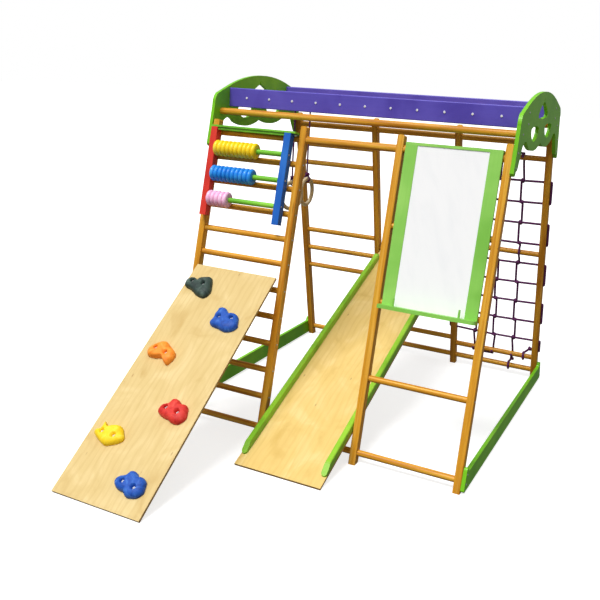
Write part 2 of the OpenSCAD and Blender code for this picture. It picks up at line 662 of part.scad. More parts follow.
module hold_red() color([0.84, 0.22, 0.18]) hold(3,
    [[-48, -4, 14], [-40, -30, 14], [4, 44, 14], [46, 12, 14], [20, -44, 16]],
    [[[-42, -6, 14, 16], [-28, -26, 14, 14], [-8, 4, 16, 18]], [[4, 38, 12, 16], [40, 8, 14, 18], [16, -36, 14, 14]]]);
module hold_yellow() color([0.98, 0.84, 0.14]) hold(4,
    [[-46, 4, 14], [-16, 36, 14], [30, 34, 14], [44, -18, 12], [-24, -36, 16]],
    [[[-40, 2, 13, 16], [-14, 28, 13, 18], [-20, -26, 14, 14]], [[24, 28, 14, 18], [40, -14, 12, 14], [14, -10, 14, 18]]]);
module hold_blue_lower() color([0.20, 0.36, 0.76]) hold(5,
    [[-46, -8, 14], [-30, 30, 14], [10, 46, 12], [46, 4, 14], [20, -44, 16]],
    [[[-40, -6, 13, 16], [-26, 24, 13, 18], [4, 40, 11, 16]], [[40, 2, 13, 18], [20, 16, 14, 18], [18, -36, 14, 14]]]);

module hold_bolts() color(steel) place() on_ramp() for (i = [0:5]) at_hold(i) bolt_places() {
    translate([0, 0, -ramp_t - 6]) cylinder(d = bolt_d, h = ramp_t + 6 + bolt_seat + 0.2);
    translate([0, 0, bolt_seat + 0.2]) difference() {
        cylinder(d = 13, h = 6);
        translate([0, 0, 3]) cylinder(d = 7, h = 6, $fn = 6);
    }
    // nut under the board
    translate([0, 0, -ramp_t - 4.2]) difference() {
        union() {
            cylinder(d = 13, h = 4);
            translate([0, 0, 2.5]) cylinder(d = 22, h = 1.5);
        }
        translate([0, 0, -1]) cylinder(d = bolt_d + 0.2, h = 8);
    }
}

// ---- slide -------------------------------------------------------------
slide_x = 524;
slide_y = -foot_half - slide_reach;
slide_rung = on_board(-mid_y(slide_rung_z), slide_rung_z, slide_y, slide_angle);
slide_len = slide_rung.x + 28;
rail_start = 60;
rail_end = 1616;

module on_slide() translate([slide_x, slide_y, 0]) rotate([slide_angle, 0, 0]) children();
module slide_board() color(ply) place() on_slide() cube([slide_w, slide_len, slide_t]);
module slide_rail(x) color(green) place() on_slide() {
    nose = rail_w / 2;
    intersection() {
        // seen from above: round at the foot
        translate([x, 0, slide_t + 0.1]) linear_extrude(rail_h)
            polygon(concat([[0, rail_end], [0, rail_start + nose]],
                arc([nose, rail_start + nose], nose, 180, 360, 12), [[rail_w, rail_end]]));
        // seen from the side: it drops to the board at the foot
        translate([x - 1, 0, 0]) side_plate(concat([[rail_end, slide_t], [rail_start - 1, slide_t],
            [rail_start, slide_t + 8]], arc([rail_start + 60, slide_t + rail_h - 14], 14, 130, 90, 4),
            arc([rail_end - 6, slide_t + rail_h - 6], 6, 90, 0, 4)), rail_w + 2);
        // seen from the end: rounded top
        translate([x, rail_end + 1, slide_t]) rotate([90, 0, 0]) linear_extrude(rail_end + 1)
            polygon(concat([[0, 0], [rail_w, 0]], arc([rail_w - 7, rail_h - 7 + 0.1], 7, 0, 90),
                arc([7, rail_h - 7 + 0.1], 7, 90, 180)));
    }
}
module slide_rail_left() slide_rail(0);
module slide_rail_right() slide_rail(slide_w - rail_w);
module slide_hooks() color(green) place() on_slide()
    for (x = [60, slide_w - 80]) hook(x, slide_rung, 20, 24, 34, 26);

// ---- hand rings --------------------------------------------------------
ring_x = monkey_x(1);
ring_r = (ring_od - ring_t) / 2;
module at_ring(y, turn_deg) translate([ring_x, y, 0]) rotate([0, 0, turn_deg]) children();
module ring(y, turn_deg) color([0.90, 0.84, 0.72]) place() at_ring(y, turn_deg)
    translate([0, 0, ring_z]) rotate([0, 90, 0]) rotate_extrude() translate([ring_r, 0]) circle(d = ring_t);
module ring_cord(y, turn_deg) color(rope) place() {
    hang_r = (rung_d + cord_d) / 2 + 0.4;
    grip_r = (ring_t + cord_d) / 2 + 0.4;
    grip_z = ring_z + ring_r;
    translate([ring_x, y, monkey_z]) rotate([90, 0, 0])
        rotate_extrude() translate([hang_r, 0]) circle(d = cord_d, $fn = 24);
    translate([ring_x, y, grip_z + grip_r]) cylinder(d = cord_d, h = monkey_z - hang_r - grip_z - grip_r);
    translate([ring_x, y, monkey_z - hang_r - 10]) sphere(d = 19);
    translate([ring_x, y, grip_z + grip_r + 12]) sphere(d = 24);
    translate([ring_x, y, grip_z + grip_r + 30]) sphere(d = 18);
    at_ring(y, turn_deg) translate([0, 0, grip_z]) rotate([90, 0, 0])
        rotate_extrude() translate([grip_r, 0]) circle(d = cord_d, $fn = 24);
}
ring_front_y = -25;
ring_rear_y = 147;
ring_front_turn = -21;
module ring_front() ring(ring_front_y, ring_front_turn);
module ring_rear() ring(ring_rear_y, 0);
module ring_cord_front() ring_cord(ring_front_y, ring_front_turn);
module ring_cord_rear() ring_cord(ring_rear_y, 0);

post_front_1();
post_front_2();
post_front_3();
post_front_4();
post_rear_1();
post_rear_2();
post_rear_3();
post_rear_4();
end_plate_left();
end_plate_right();
base_rail_left();
base_rail_right();
top_bar_front();
top_bar_rear();
plank_front();
plank_rear();
monkey_rungs();
pull_up_bar();
rear_tie_bar();
rungs_front_left();
rungs_front_right();
rungs_rear_left();
rungs_rear_middle();
rungs_rear_right();
climbing_net();
rung_screws();
plank_screws();
frame_screws();
abacus_top();
abacus_post_red();
abacus_post_blue();
abacus_rods();
abacus_screws();
beads_yellow();
beads_blue();
beads_pink();
whiteboard_top();
whiteboard_stile_left();
whiteboard_stile_right();
whiteboard_panel();
whiteboard_tray();
ramp_board();
ramp_hooks();
hold_grey();
hold_blue_upper();
hold_orange();
hold_red();
hold_yellow();
hold_blue_lower();
hold_bolts();
slide_board();
slide_rail_left();
slide_rail_right();
slide_hooks();
ring_front();
ring_rear();
ring_cord_front();
ring_cord_rear();
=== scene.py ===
import math
import random
import bmesh
import bpy
from mathutils import Matrix, Vector


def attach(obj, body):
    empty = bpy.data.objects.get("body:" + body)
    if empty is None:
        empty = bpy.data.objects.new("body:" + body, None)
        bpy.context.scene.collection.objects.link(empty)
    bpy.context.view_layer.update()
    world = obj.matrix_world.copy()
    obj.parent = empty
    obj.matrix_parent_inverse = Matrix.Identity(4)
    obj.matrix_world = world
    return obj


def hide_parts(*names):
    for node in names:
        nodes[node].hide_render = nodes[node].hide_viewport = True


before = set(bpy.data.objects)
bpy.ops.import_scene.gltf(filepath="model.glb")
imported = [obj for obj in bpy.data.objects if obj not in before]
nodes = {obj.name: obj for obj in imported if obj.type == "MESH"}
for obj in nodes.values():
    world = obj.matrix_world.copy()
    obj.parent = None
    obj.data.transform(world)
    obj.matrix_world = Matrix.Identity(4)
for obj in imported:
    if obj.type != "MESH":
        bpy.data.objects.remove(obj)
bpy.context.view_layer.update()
random.seed(7)


# ---- camera ---------------------------------------------------------------
IMAGE_SIDE = 600
FOCAL = 821.717
IMAGE_CENTRE = (295.16, 262.73)
SENSOR = 36
CAMERA_AT = (1.4529, -3.3747, 1.6982)
CAMERA_YAW, CAMERA_PITCH, CAMERA_ROLL = 26.846, -13.896, 2.580


def make_camera():
    yaw, pitch, roll = (math.radians(a) for a in (CAMERA_YAW, CAMERA_PITCH, CAMERA_ROLL))
    ahead = Vector((-math.sin(yaw) * math.cos(pitch), math.cos(yaw) * math.cos(pitch), math.sin(pitch)))
    level = Vector((math.cos(yaw), math.sin(yaw), 0))
    upright = level.cross(ahead)
    right = level * math.cos(roll) + upright * math.sin(roll)
    up = upright * math.cos(roll) - level * math.sin(roll)
    data = bpy.data.cameras.new("camera")
    data.sensor_width = SENSOR
    data.lens = FOCAL / IMAGE_SIDE * SENSOR
    data.shift_x = (IMAGE_SIDE / 2 - IMAGE_CENTRE[0]) / IMAGE_SIDE
    data.shift_y = (IMAGE_CENTRE[1] - IMAGE_SIDE / 2) / IMAGE_SIDE
    data.clip_end = 50
    camera = bpy.data.objects.new("camera", data)
    bpy.context.scene.collection.objects.link(camera)
    turn = Matrix((right, up, -ahead)).transposed().to_4x4()
    camera.matrix_world = Matrix.Translation(CAMERA_AT) @ turn
    bpy.context.scene.camera = camera


make_camera()

# ---- places shared with the model of the parts ------------------------------
LEAN = math.radians(13)
BAY = 0.467
POST_W = 0.032
POST_D = 0.040
RUNG_D = 0.028
FOOT_HALF = 0.765
FRAME_W = 3 * BAY + POST_W
RAMP_SLOPE = math.radians(35.6)
RAMP_T = 0.012
RAMP_RUN = 0.841
SLIDE_SLOPE = math.radians(22.4)
SLIDE_T = 0.011
RING_PLY_T = 0.009
# the ramp reaches in front of the frame, so the frame stands this far behind the middle
Y_SHIFT = (RAMP_RUN + RAMP_T * math.sin(RAMP_SLOPE)) / 2


def along_post(z, depth=POST_D / 2):
    return (z + depth * math.sin(LEAN)) / math.cos(LEAN)


def frame_point(x, y, z):
    """Row place of a point measured from the left end, the middle plane and the floor."""
    return Vector((x - FRAME_W / 2, y + Y_SHIFT, z))


def rear_point(x, z, depth=POST_D / 2):
    """A point in the plane of the rear posts, at height z."""
    s = along_post(z, depth)
    y = FOOT_HALF - depth * math.cos(LEAN) - s * math.sin(LEAN)
    return frame_point(x, y, z)


# ---- material kit -----------------------------------------------------------
class Nodes:
    """Short names for the shader nodes that the finishes share."""

    def __init__(self, name):
        self.mat = bpy.data.materials.new(name)
        self.mat.use_nodes = True
        self.tree = self.mat.node_tree
        self.shader = self.tree.nodes["Principled BSDF"]
        self.coords = self.tree.nodes.new("ShaderNodeTexCoord")
        self.turns = {}

    def link(self, a, b):
        self.tree.links.new(a, b)
        return b

    def put(self, socket, value):
        if isinstance(value, bpy.types.NodeSocket):
            self.link(value, socket)
        else:
            socket.default_value = value

    def turned(self, turn, source="Object"):
        """Coordinates turned so that X runs along the grain."""
        key = (tuple(turn), source)
        if key not in self.turns:
            n = self.tree.nodes.new("ShaderNodeMapping")
            n.inputs["Rotation"].default_value = turn
            self.link(self.coords.outputs[source], n.inputs["Vector"])
            self.turns[key] = n.outputs["Vector"]
        return self.turns[key]

    def mapped(self, turn=(0, 0, 0), size=(1, 1, 1), source="Object", place=(0, 0, 0)):
        """Turned coordinates, moved and then stretched along their own axes."""
        n = self.tree.nodes.new("ShaderNodeMapping")
        n.inputs["Location"].default_value = [p * s for p, s in zip(place, size)]
        n.inputs["Scale"].default_value = size
        self.link(self.turned(turn, source), n.inputs["Vector"])
        return n.outputs["Vector"]

    def noise(self, vector, scale, detail=4, rough=0.55, warp=0.0):
        n = self.tree.nodes.new("ShaderNodeTexNoise")
        self.link(vector, n.inputs["Vector"])
        n.inputs["Scale"].default_value = scale
        n.inputs["Detail"].default_value = detail
        n.inputs["Roughness"].default_value = rough
        n.inputs["Distortion"].default_value = warp
        return n.outputs["Fac"]

    def wave(self, vector, scale, warp=2.0, detail=2, kind="BANDS", way="X"):
        n = self.tree.nodes.new("ShaderNodeTexWave")
        n.wave_type = kind
        if kind == "BANDS":
            n.bands_direction = way
        else:
            n.rings_direction = way
        self.link(vector, n.inputs["Vector"])
        n.inputs["Scale"].default_value = scale
        n.inputs["Distortion"].default_value = warp
        n.inputs["Detail"].default_value = detail
        return n.outputs["Fac"]

    def cells(self, vector, scale, randomness=1.0, out="Distance"):
        n = self.tree.nodes.new("ShaderNodeTexVoronoi")
        self.link(vector, n.inputs["Vector"])
        n.inputs["Scale"].default_value = scale
        n.inputs["Randomness"].default_value = randomness
        return n.outputs[out]

    def ramp(self, value, stops, smooth=False):
        n = self.tree.nodes.new("ShaderNodeValToRGB")
        n.color_ramp.interpolation = "EASE" if smooth else "LINEAR"
        while len(n.color_ramp.elements) < len(stops):
            n.color_ramp.elements.new(0.5)
        for e, (at, colour) in zip(n.color_ramp.elements, stops):
            e.position = at
            e.color = (*colour, 1) if len(colour) == 3 else colour
        self.link(value, n.inputs["Fac"])
        return n.outputs["Color"]

    def span(self, value, a, b, lo, hi):
        n = self.tree.nodes.new("ShaderNodeMapRange")
        self.link(value, n.inputs["Value"])
        for key, v in (("From Min", a), ("From Max", b), ("To Min", lo), ("To Max", hi)):
            n.inputs[key].default_value = v
        return n.outputs["Result"]

    def maths(self, kind, a, b=0.0):
        n = self.tree.nodes.new("ShaderNodeMath")
        n.operation = kind
        self.put(n.inputs[0], a)
        self.put(n.inputs[1], b)
        return n.outputs["Value"]

    def mix(self, factor, a, b, kind="MIX"):
        n = self.tree.nodes.new("ShaderNodeMix")
        n.data_type = "RGBA"
        n.blend_type = kind
        self.put(n.inputs["Factor"], factor)
        self.put(n.inputs[6], a if isinstance(a, bpy.types.NodeSocket) else (*a, 1))
        self.put(n.inputs[7], b if isinstance(b, bpy.types.NodeSocket) else (*b, 1))
        return n.outputs[2]

    def split(self, vector):
        n = self.tree.nodes.new("ShaderNodeSeparateXYZ")
        self.link(vector, n.inputs[0])
        return n.outputs

    def bump(self, height, strength, distance):
        n = self.tree.nodes.new("ShaderNodeBump")
        n.inputs["Strength"].default_value = strength
        n.inputs["Distance"].default_value = distance
        self.link(height, n.inputs["Height"])
        self.link(n.outputs["Normal"], self.shader.inputs["Normal"])

    def finish(self, colour, rough, coat=0.0, coat_rough=0.2, specular=0.5):
        self.put(self.shader.inputs["Base Color"], colour)
        self.put(self.shader.inputs["Roughness"], rough)
        self.shader.inputs["Coat Weight"].default_value = coat
        self.shader.inputs["Coat Roughness"].default_value = coat_rough
        self.shader.inputs["Specular IOR Level"].default_value = specular
        return self.mat


def linear(r, g, b):
    """Colour from 0 to 255 screen values."""
    def one(v):
        v /= 255
        return v / 12.92 if v <= 0.04045 else ((v + 0.055) / 1.055) ** 2.4
    return (one(r), one(g), one(b))


# ---- finishes ---------------------------------------------------------------
def stained_wood(name, turn, offset):
    """Honey-stained solid wood whose grain runs along the turned X axis."""
    m = Nodes(name)
    stretched = m.mapped(turn, (0.9, 14, 14), place=offset)
    rings = m.wave(stretched, 1.1, warp=5.0, detail=3, way="Y")
    streak = m.noise(m.mapped(turn, (3.5, 220, 220), place=offset), 1.0, 5, 0.62)
    stripe = m.noise(m.mapped(turn, (2.4, 90, 90), place=offset), 1.0, 3, 0.6)
    patches = m.noise(m.mapped(turn, (3, 11, 11), place=offset), 1.4, 3, 0.5, 0.4)
    pores = m.noise(m.mapped(turn, (45, 900, 900), place=offset), 1.0, 2, 0.5)
    dark, middle, pale = linear(176, 108, 18), linear(222, 156, 38), linear(240, 186, 64)
    grain = m.ramp(rings, [(0.0, dark), (0.32, middle), (0.75, pale), (1.0, middle)], True)
    colour = m.mix(m.span(streak, 0.35, 0.68, 0.0, 0.62), grain, dark)
    colour = m.mix(m.span(patches, 0.3, 0.72, 0.0, 0.55), colour, linear(230, 164, 42))
    colour = m.mix(m.span(stripe, 0.50, 0.66, 0.0, 0.42), colour, linear(184, 112, 18))
    colour = m.mix(m.span(stripe, 0.46, 0.32, 0.0, 0.50), colour, linear(240, 190, 88))
    knots = m.cells(m.mapped(turn, (3.2, 30, 30), place=offset), 1.0)
    colour = m.mix(m.span(knots, 0.035, 0.12, 0.75, 0.0), colour, linear(92, 44, 10))
    colour = m.mix(m.span(pores, 0.60, 0.72, 0.0, 0.35), colour, linear(110, 58, 12))
    relief = m.maths("ADD", m.maths("MULTIPLY", streak, 0.7), m.maths("MULTIPLY", pores, 0.5))
    m.bump(relief, 0.25, 0.0006)
    return m.finish(colour, m.span(streak, 0.3, 0.7, 0.36, 0.5), coat=0.06, coat_rough=0.3, specular=0.25)


def paint(name, colour, deep, pale, rough=0.42, coat=0.08, turn=(0, 0, 0), brush=0.25, specular=0.3):
    """Painted board: soft colour drift, faint grain under the paint and pale specks."""
    m = Nodes(name)
    drift = m.noise(m.mapped(turn, (2.5, 2.5, 2.5)), 1.6, 3, 0.5, 0.3)
    grain = m.noise(m.mapped(turn, (6, 120, 120)), 1.0, 4, 0.6)
    speck = m.noise(m.mapped(turn, (1, 1, 1)), 380, 2, 0.5)
    tone = m.ramp(drift, [(0.3, deep), (0.5, colour), (0.72, pale)], True)
    tone = m.mix(m.span(grain, 0.42, 0.72, 0.0, brush), tone, deep)
    tone = m.mix(m.span(speck, 0.62, 0.75, 0.0, 0.25), tone, pale)
    relief = m.maths("ADD", m.maths("MULTIPLY", grain, 0.6), m.maths("MULTIPLY", speck, 0.4))
    m.bump(relief, 0.18, 0.0005)
    return m.finish(tone, m.span(speck, 0.3, 0.7, rough - 0.05, rough + 0.08), coat, 0.25, specular)


def plywood(name, slope, pale, middle, dark, edge_pale, edge_dark, thick):
    """Birch ply: broad soft figure on the faces and thin plies on the edges."""
    m = Nodes(name)
    turn = (-slope, 0, 0)
    # u across the board, v along its slope, w through its thickness
    broad = m.noise(m.mapped(turn, (5.5, 3.6, 5.5)), 1.5, 3, 0.5, 0.8)
    figure = m.wave(m.mapped(turn, (4.5, 1.5, 4.5)), 2.4, warp=7.0, detail=1, way="X")
    cloud = m.noise(m.mapped(turn, (16, 7, 16)), 1.0, 4, 0.6, 0.6)
    fibre = m.noise(m.mapped(turn, (330, 9, 330)), 1.0, 4, 0.6)
    lines = m.noise(m.mapped(turn, (95, 3.5, 95)), 1.0, 3, 0.6)
    speck = m.noise(m.mapped(turn, (900, 60, 900)), 1.0, 2, 0.5)
    pins = m.cells(m.mapped(turn, (15, 5, 15)), 1.0)
    face = m.ramp(broad, [(0.22, dark), (0.46, middle), (0.70, pale)], True)
    face = m.mix(m.span(figure, 0.62, 0.96, 0.0, 0.26), face, dark)
    face = m.mix(m.span(cloud, 0.45, 0.72, 0.0, 0.22), face, pale)
    face = m.mix(m.span(lines, 0.48, 0.70, 0.0, 0.20), face, dark)
    face = m.mix(m.span(fibre, 0.50, 0.75, 0.0, 0.26), face, dark)
    face = m.mix(m.span(pins, 0.025, 0.06, 0.55, 0.0), face, edge_dark)
    face = m.mix(m.span(speck, 0.62, 0.74, 0.0, 0.18), face, pale)
    # plies show where the surface doesn't face up or down from the board
    height = m.split(m.mapped(turn, (1, 1, 1)))[2]
    layer = m.tree.nodes.new("ShaderNodeMath")
    layer.operation = "PINGPONG"
    m.link(height, layer.inputs[0])
    layer.inputs[1].default_value = thick / 6
    bands = m.span(layer.outputs[0], 0.0, thick / 6, 0.0, 1.0)
    edge = m.mix(m.span(bands, 0.35, 0.65, 0.0, 1.0), edge_dark, edge_pale)
    edge = m.mix(m.span(fibre, 0.4, 0.7, 0.0, 0.3), edge, edge_dark)
    facing = m.split(m.mapped(turn, (1, 1, 1), "Normal"))[2]
    on_edge = m.span(m.maths("ABSOLUTE", facing), 0.55, 0.8, 1.0, 0.0)
    colour = m.mix(on_edge, face, edge)
    m.bump(fibre, 0.12, 0.0005)
    return m.finish(colour, m.span(fibre, 0.3, 0.7, 0.42, 0.54), coat=0.06, coat_rough=0.3, specular=0.25)


def bead_paint(name, colour, deep, pale):
    """Gloss enamel on turned wood, with faint turning lines round each bead."""
    m = Nodes(name)
    drift = m.noise(m.mapped(size=(14, 14, 14)), 1.0, 3, 0.5)
    speck = m.noise(m.mapped(), 520, 2, 0.5)
    tone = m.ramp(drift, [(0.3, deep), (0.5, colour), (0.72, pale)], True)
    tone = m.mix(m.span(speck, 0.6, 0.75, 0.0, 0.2), tone, pale)
    m.bump(m.noise(m.mapped(size=(900, 30, 30)), 1.0, 2, 0.5), 0.06, 0.0004)
    return m.finish(tone, m.span(speck, 0.3, 0.7, 0.30, 0.42), coat=0.2, coat_rough=0.15, specular=0.35)


def cast_resin(name, colour, deep, pale):
    """Gritty cast resin with swirls, as climbing holds have."""
    m = Nodes(name)
    swirl = m.noise(m.mapped(size=(22, 22, 22)), 1.0, 4, 0.55, 1.6)
    grit = m.noise(m.mapped(), 900, 3, 0.6)
    pits = m.cells(m.mapped(), 420)
    tone = m.ramp(swirl, [(0.3, deep), (0.5, colour), (0.75, pale)], True)
    # painted shade: each pit is painted darker towards its bottom
    tone = m.mix(m.span(pits, 0.0, 0.3, 0.35, 0.0), tone, deep)
    m.bump(m.maths("ADD", grit, m.maths("MULTIPLY", pits, 0.6)), 0.45, 0.0009)
    return m.finish(tone, m.span(grit, 0.3, 0.7, 0.5, 0.66), coat=0.05, coat_rough=0.4, specular=0.3)


def plated_steel(name):
    m = Nodes(name)
    haze = m.noise(m.mapped(), 260, 3, 0.6)
    m.shader.inputs["Metallic"].default_value = 0.9
    tone = m.ramp(haze, [(0.3, (0.42, 0.42, 0.43)), (0.7, (0.66, 0.66, 0.68))])
    m.bump(haze, 0.1, 0.0003)
    return m.finish(tone, m.span(haze, 0.3, 0.7, 0.26, 0.42))


def moulded_plastic(name, colour, deep):
    m = Nodes(name)
    grain = m.noise(m.mapped(), 1500, 2, 0.5)
    tone = m.ramp(grain, [(0.35, deep), (0.6, colour)])
    m.bump(grain, 0.1, 0.0003)
    return m.finish(tone, m.span(grain, 0.3, 0.7, 0.35, 0.5))


def writing_surface(name):
    """White melamine with the ghost of wiped marks."""
    m = Nodes(name)
    wipe = m.noise(m.mapped((0, 0.35, 0), (14, 2, 3)), 1.0, 4, 0.6, 0.5)
    haze = m.noise(m.mapped(), 700, 2, 0.5)
    clean, worn, ghost = (0.97, 0.97, 0.97), (0.95, 0.952, 0.955), (0.93, 0.935, 0.94)
    tone = m.ramp(wipe, [(0.3, ghost), (0.6, clean), (0.8, worn)], True)
    m.bump(haze, 0.02, 0.0002)
    return m.finish(tone, m.span(wipe, 0.3, 0.7, 0.10, 0.22), coat=0.4, coat_rough=0.06)


FRONT_GRAIN = (LEAN, math.pi / 2, 0)
REAR_GRAIN = (-LEAN, math.pi / 2, 0)
BAR_GRAIN = (0, 0, 0)
ACROSS_GRAIN = (0, 0, -math.pi / 2)

# each paint: colour, deeper shade and paler shade
GREEN = linear(120, 198, 26), linear(102, 180, 18), linear(142, 214, 40)
FRAME_GREEN = linear(140, 204, 88), linear(124, 190, 72), linear(160, 216, 104)
SHELF_GREEN = linear(120, 196, 50), linear(100, 174, 40), linear(146, 212, 68)
RAIL_GREEN = linear(140, 196, 44), linear(118, 176, 34), linear(160, 212, 62)
PURPLE = linear(98, 86, 194), linear(84, 70, 176), linear(114, 102, 208)
RED = linear(224, 60, 46), linear(208, 46, 36), linear(238, 84, 68)
BLUE = linear(30, 102, 196), linear(20, 84, 176), linear(50, 124, 212)
BEAD_YELLOW = linear(255, 222, 34), linear(250, 206, 18), linear(255, 232, 84)
BEAD_BLUE = linear(34, 144, 236), linear(20, 124, 222), linear(72, 168, 242)
BEAD_PINK = linear(252, 194, 228), linear(244, 176, 216), linear(255, 212, 238)
# each ply: pale, middle and dark face, then pale and dark edge
RAMP_PLY = (linear(222, 198, 142), linear(212, 186, 126), linear(196, 164, 100),
            linear(210, 176, 112), linear(150, 104, 52))
SLIDE_PLY = (linear(234, 206, 138), linear(226, 194, 118), linear(210, 174, 94),
             linear(206, 168, 100), linear(150, 104, 52))
RING_PLY = (linear(232, 216, 182), linear(222, 202, 162), linear(206, 182, 138),
            linear(220, 200, 160), linear(176, 144, 96))
# rope: dark for the painted shade between the strands, the rope's own colour, and pale for the painted
# highlight on the strands' crowns and for loose fibres
ROPE_PURPLE = linear(44, 8, 44), linear(84, 26, 80), linear(114, 50, 108)


def dress():
    """Gives every node of the model its finish."""
    finish = {}

    def give(material, *names):
        for name in names:
            finish[name] = material

    for i in range(4):
        front = stained_wood(f"stain_front_{i + 1}", FRONT_GRAIN, (0.31 * i, 0.17 * i, 0.4))
        give(front, f"post_front_{i + 1}")
        rear = stained_wood(f"stain_rear_{i + 1}", REAR_GRAIN, (0.23 * i, 0.9, 0.13 * i))
        give(rear, f"post_rear_{i + 1}")
    give(stained_wood("stain_bars", BAR_GRAIN, (0.2, 0.1, 0)),
         "top_bar_front", "top_bar_rear", "pull_up_bar", "rear_tie_bar")
    give(stained_wood("stain_rungs", BAR_GRAIN, (0.7, 0.4, 0.2)),
         "rungs_front_left", "rungs_front_right", "rungs_rear_left", "rungs_rear_middle", "rungs_rear_right")
    give(stained_wood("stain_overhead", ACROSS_GRAIN, (0, 0.3, 0.1)), "monkey_rungs")
    give(paint("green_plates", *GREEN, turn=ACROSS_GRAIN),
         "end_plate_left", "end_plate_right", "base_rail_left", "base_rail_right")
    give(paint("green_hooks", *SHELF_GREEN), "ramp_hooks", "slide_hooks")
    give(paint("purple_planks", *PURPLE), "plank_front", "plank_rear")
    give(paint("green_shelf", *SHELF_GREEN), "abacus_top", "abacus_rods")
    give(paint("red_upright", *RED, turn=FRONT_GRAIN), "abacus_post_red")
    give(paint("blue_upright", *BLUE, turn=FRONT_GRAIN), "abacus_post_blue")
    give(paint("green_frame", *FRAME_GREEN, turn=FRONT_GRAIN),
         "whiteboard_stile_left", "whiteboard_stile_right")
    give(paint("green_frame_across", *FRAME_GREEN), "whiteboard_top", "whiteboard_tray")
    give(paint("green_rails", *RAIL_GREEN), "slide_rail_left", "slide_rail_right")
    give(bead_paint("yellow_beads", *BEAD_YELLOW), "beads_yellow")
    give(bead_paint("blue_beads", *BEAD_BLUE), "beads_blue")
    give(bead_paint("pink_beads", *BEAD_PINK), "beads_pink")
    give(plated_steel("zinc_screws"), "rung_screws", "frame_screws", "abacus_screws", "hold_bolts")
    give(moulded_plastic("white_caps", linear(240, 240, 240), linear(222, 222, 224)), "plank_screws")
    give(writing_surface("writing_white"), "whiteboard_panel")
    give(plywood("ramp_ply", RAMP_SLOPE, *RAMP_PLY, RAMP_T), "ramp_board")
    give(plywood("slide_ply", SLIDE_SLOPE, *SLIDE_PLY, SLIDE_T), "slide_board")
    give(plywood("ring_ply", 0, *RING_PLY, RING_PLY_T), "ring_front", "ring_rear")
    deep, colour, pale = ROPE_PURPLE
    give(laid_rope("purple_rope", deep, colour, pale), "climbing_net", "ring_cord_front", "ring_cord_rear")
    for name, resin in RESIN.items():
        finish["hold_" + name] = resin
    for name, node in nodes.items():
        node.data.materials.clear()
        node.data.materials.append(finish[name])
    return finish


STRAND_PITCH = 0.008


def laid_rope(name, deep, colour, pale):
    """Laid cord whose strands run slantwise round it, along X and along Z alike, with painted shade in the
    grooves between the strands and a painted highlight on their crowns.
    """
    m = Nodes(name)
    x, y, z = m.split(m.coords.outputs["Object"])[0:3]
    slant = m.maths("ADD", m.maths("ADD", x, z), m.maths("MULTIPLY", y, 0.8))
    lay = m.maths("MULTIPLY", slant, 2 * math.pi / STRAND_PITCH)
    strand_relief_and_shade = m.maths("ABSOLUTE", m.maths("SINE", lay))
    fuzz = m.noise(m.mapped(), 1400, 3, 0.6)
    # painted shade and painted highlight: dark in the grooves between the strands, pale on their crowns
    tone = m.ramp(strand_relief_and_shade, [(0.0, deep), (0.5, colour), (1.0, pale)])
    tone = m.mix(m.span(fuzz, 0.5, 0.75, 0.0, 0.4), tone, pale)
    m.bump(m.maths("ADD", strand_relief_and_shade, m.maths("MULTIPLY", fuzz, 0.25)), 0.6, 0.001)
    return m.finish(tone, 0.7, specular=0.3)


RESIN = {
    "grey": cast_resin("resin_grey", linear(50, 68, 62), linear(34, 48, 46), linear(84, 104, 94)),
    "blue_upper": cast_resin("resin_blue", linear(30, 84, 178), linear(18, 60, 144), linear(66, 120, 204)),
    "orange": cast_resin("resin_orange", linear(246, 146, 44), linear(232, 126, 30), linear(250, 172, 78)),
    "red": cast_resin("resin_red", linear(214, 52, 44), linear(190, 36, 32), linear(230, 88, 72)),
    "yellow": cast_resin("resin_yellow", linear(250, 212, 30), linear(240, 194, 16), linear(252, 226, 76)),
}
RESIN["blue_lower"] = RESIN["blue_upper"]
finish = dress()


# ---- shared makers ----------------------------------------------------------
def piece(name, mesh_or_bm, material, body, *stands_for):
    """Puts a finished shape in the scene, riding on its body, in place of the nodes it stands for."""
    if isinstance(mesh_or_bm, bmesh.types.BMesh):
        mesh = bpy.data.meshes.new(name)
        mesh_or_bm.to_mesh(mesh)
        mesh_or_bm.free()
    else:
        mesh = mesh_or_bm
        mesh.name = name
    obj = bpy.data.objects.new(name, mesh)
    bpy.context.scene.collection.objects.link(obj)
    mesh.materials.clear()
    mesh.materials.append(material)
    for f in mesh.polygons:
        f.use_smooth = True
    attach(obj, body)
    if stands_for:
        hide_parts(*stands_for)
    return obj


def baked(bm, *modifiers):
    """The mesh that a bmesh becomes under a list of (kind, settings) modifiers."""
    mesh = bpy.data.meshes.new("work")
    bm.to_mesh(mesh)
    bm.free()
    obj = bpy.data.objects.new("work", mesh)
    bpy.context.scene.collection.objects.link(obj)
    for kind, settings in modifiers:
        mod = obj.modifiers.new(kind, kind)
        for key, value in settings.items():
            setattr(mod, key, value)
    bpy.context.view_layer.update()
    done = bpy.data.meshes.new_from_object(obj.evaluated_get(bpy.context.evaluated_depsgraph_get()))
    bpy.data.objects.remove(obj)
    bpy.data.meshes.remove(mesh)
    return done


# ---- climbing holds ---------------------------------------------------------
RAMP_AT = frame_point(0.033, -FOOT_HALF - RAMP_RUN, 0)
RAMP_PLACE = Matrix.Translation(RAMP_AT) @ Matrix.Rotation(RAMP_SLOPE, 4, "X")
BOLT_SPAN = 0.062
BOLT_SEAT = 0.008
CAST_SKIN = 0.0016
BACK_GAP = 0.0002
# each step of a bolt recess: its bottom, its top, and its radius at each
WELL_STEPS = (
    (-0.01, 0.02, 0.0044, 0.0044), (BOLT_SEAT, 0.020, 0.0078, 0.0094), (0.018, 0.034, 0.0090, 0.0150),
)
# across the ramp, up the ramp and turn of each pair of bolts, in mm and degrees
HOLD_AT = {
    "grey": (77, 1113, -6), "blue_upper": (310, 954, 5), "orange": (103, 718, -12),
    "red": (314, 460, -8), "yellow": (101, 286, -4), "blue_lower": (315, 114, -10),
}
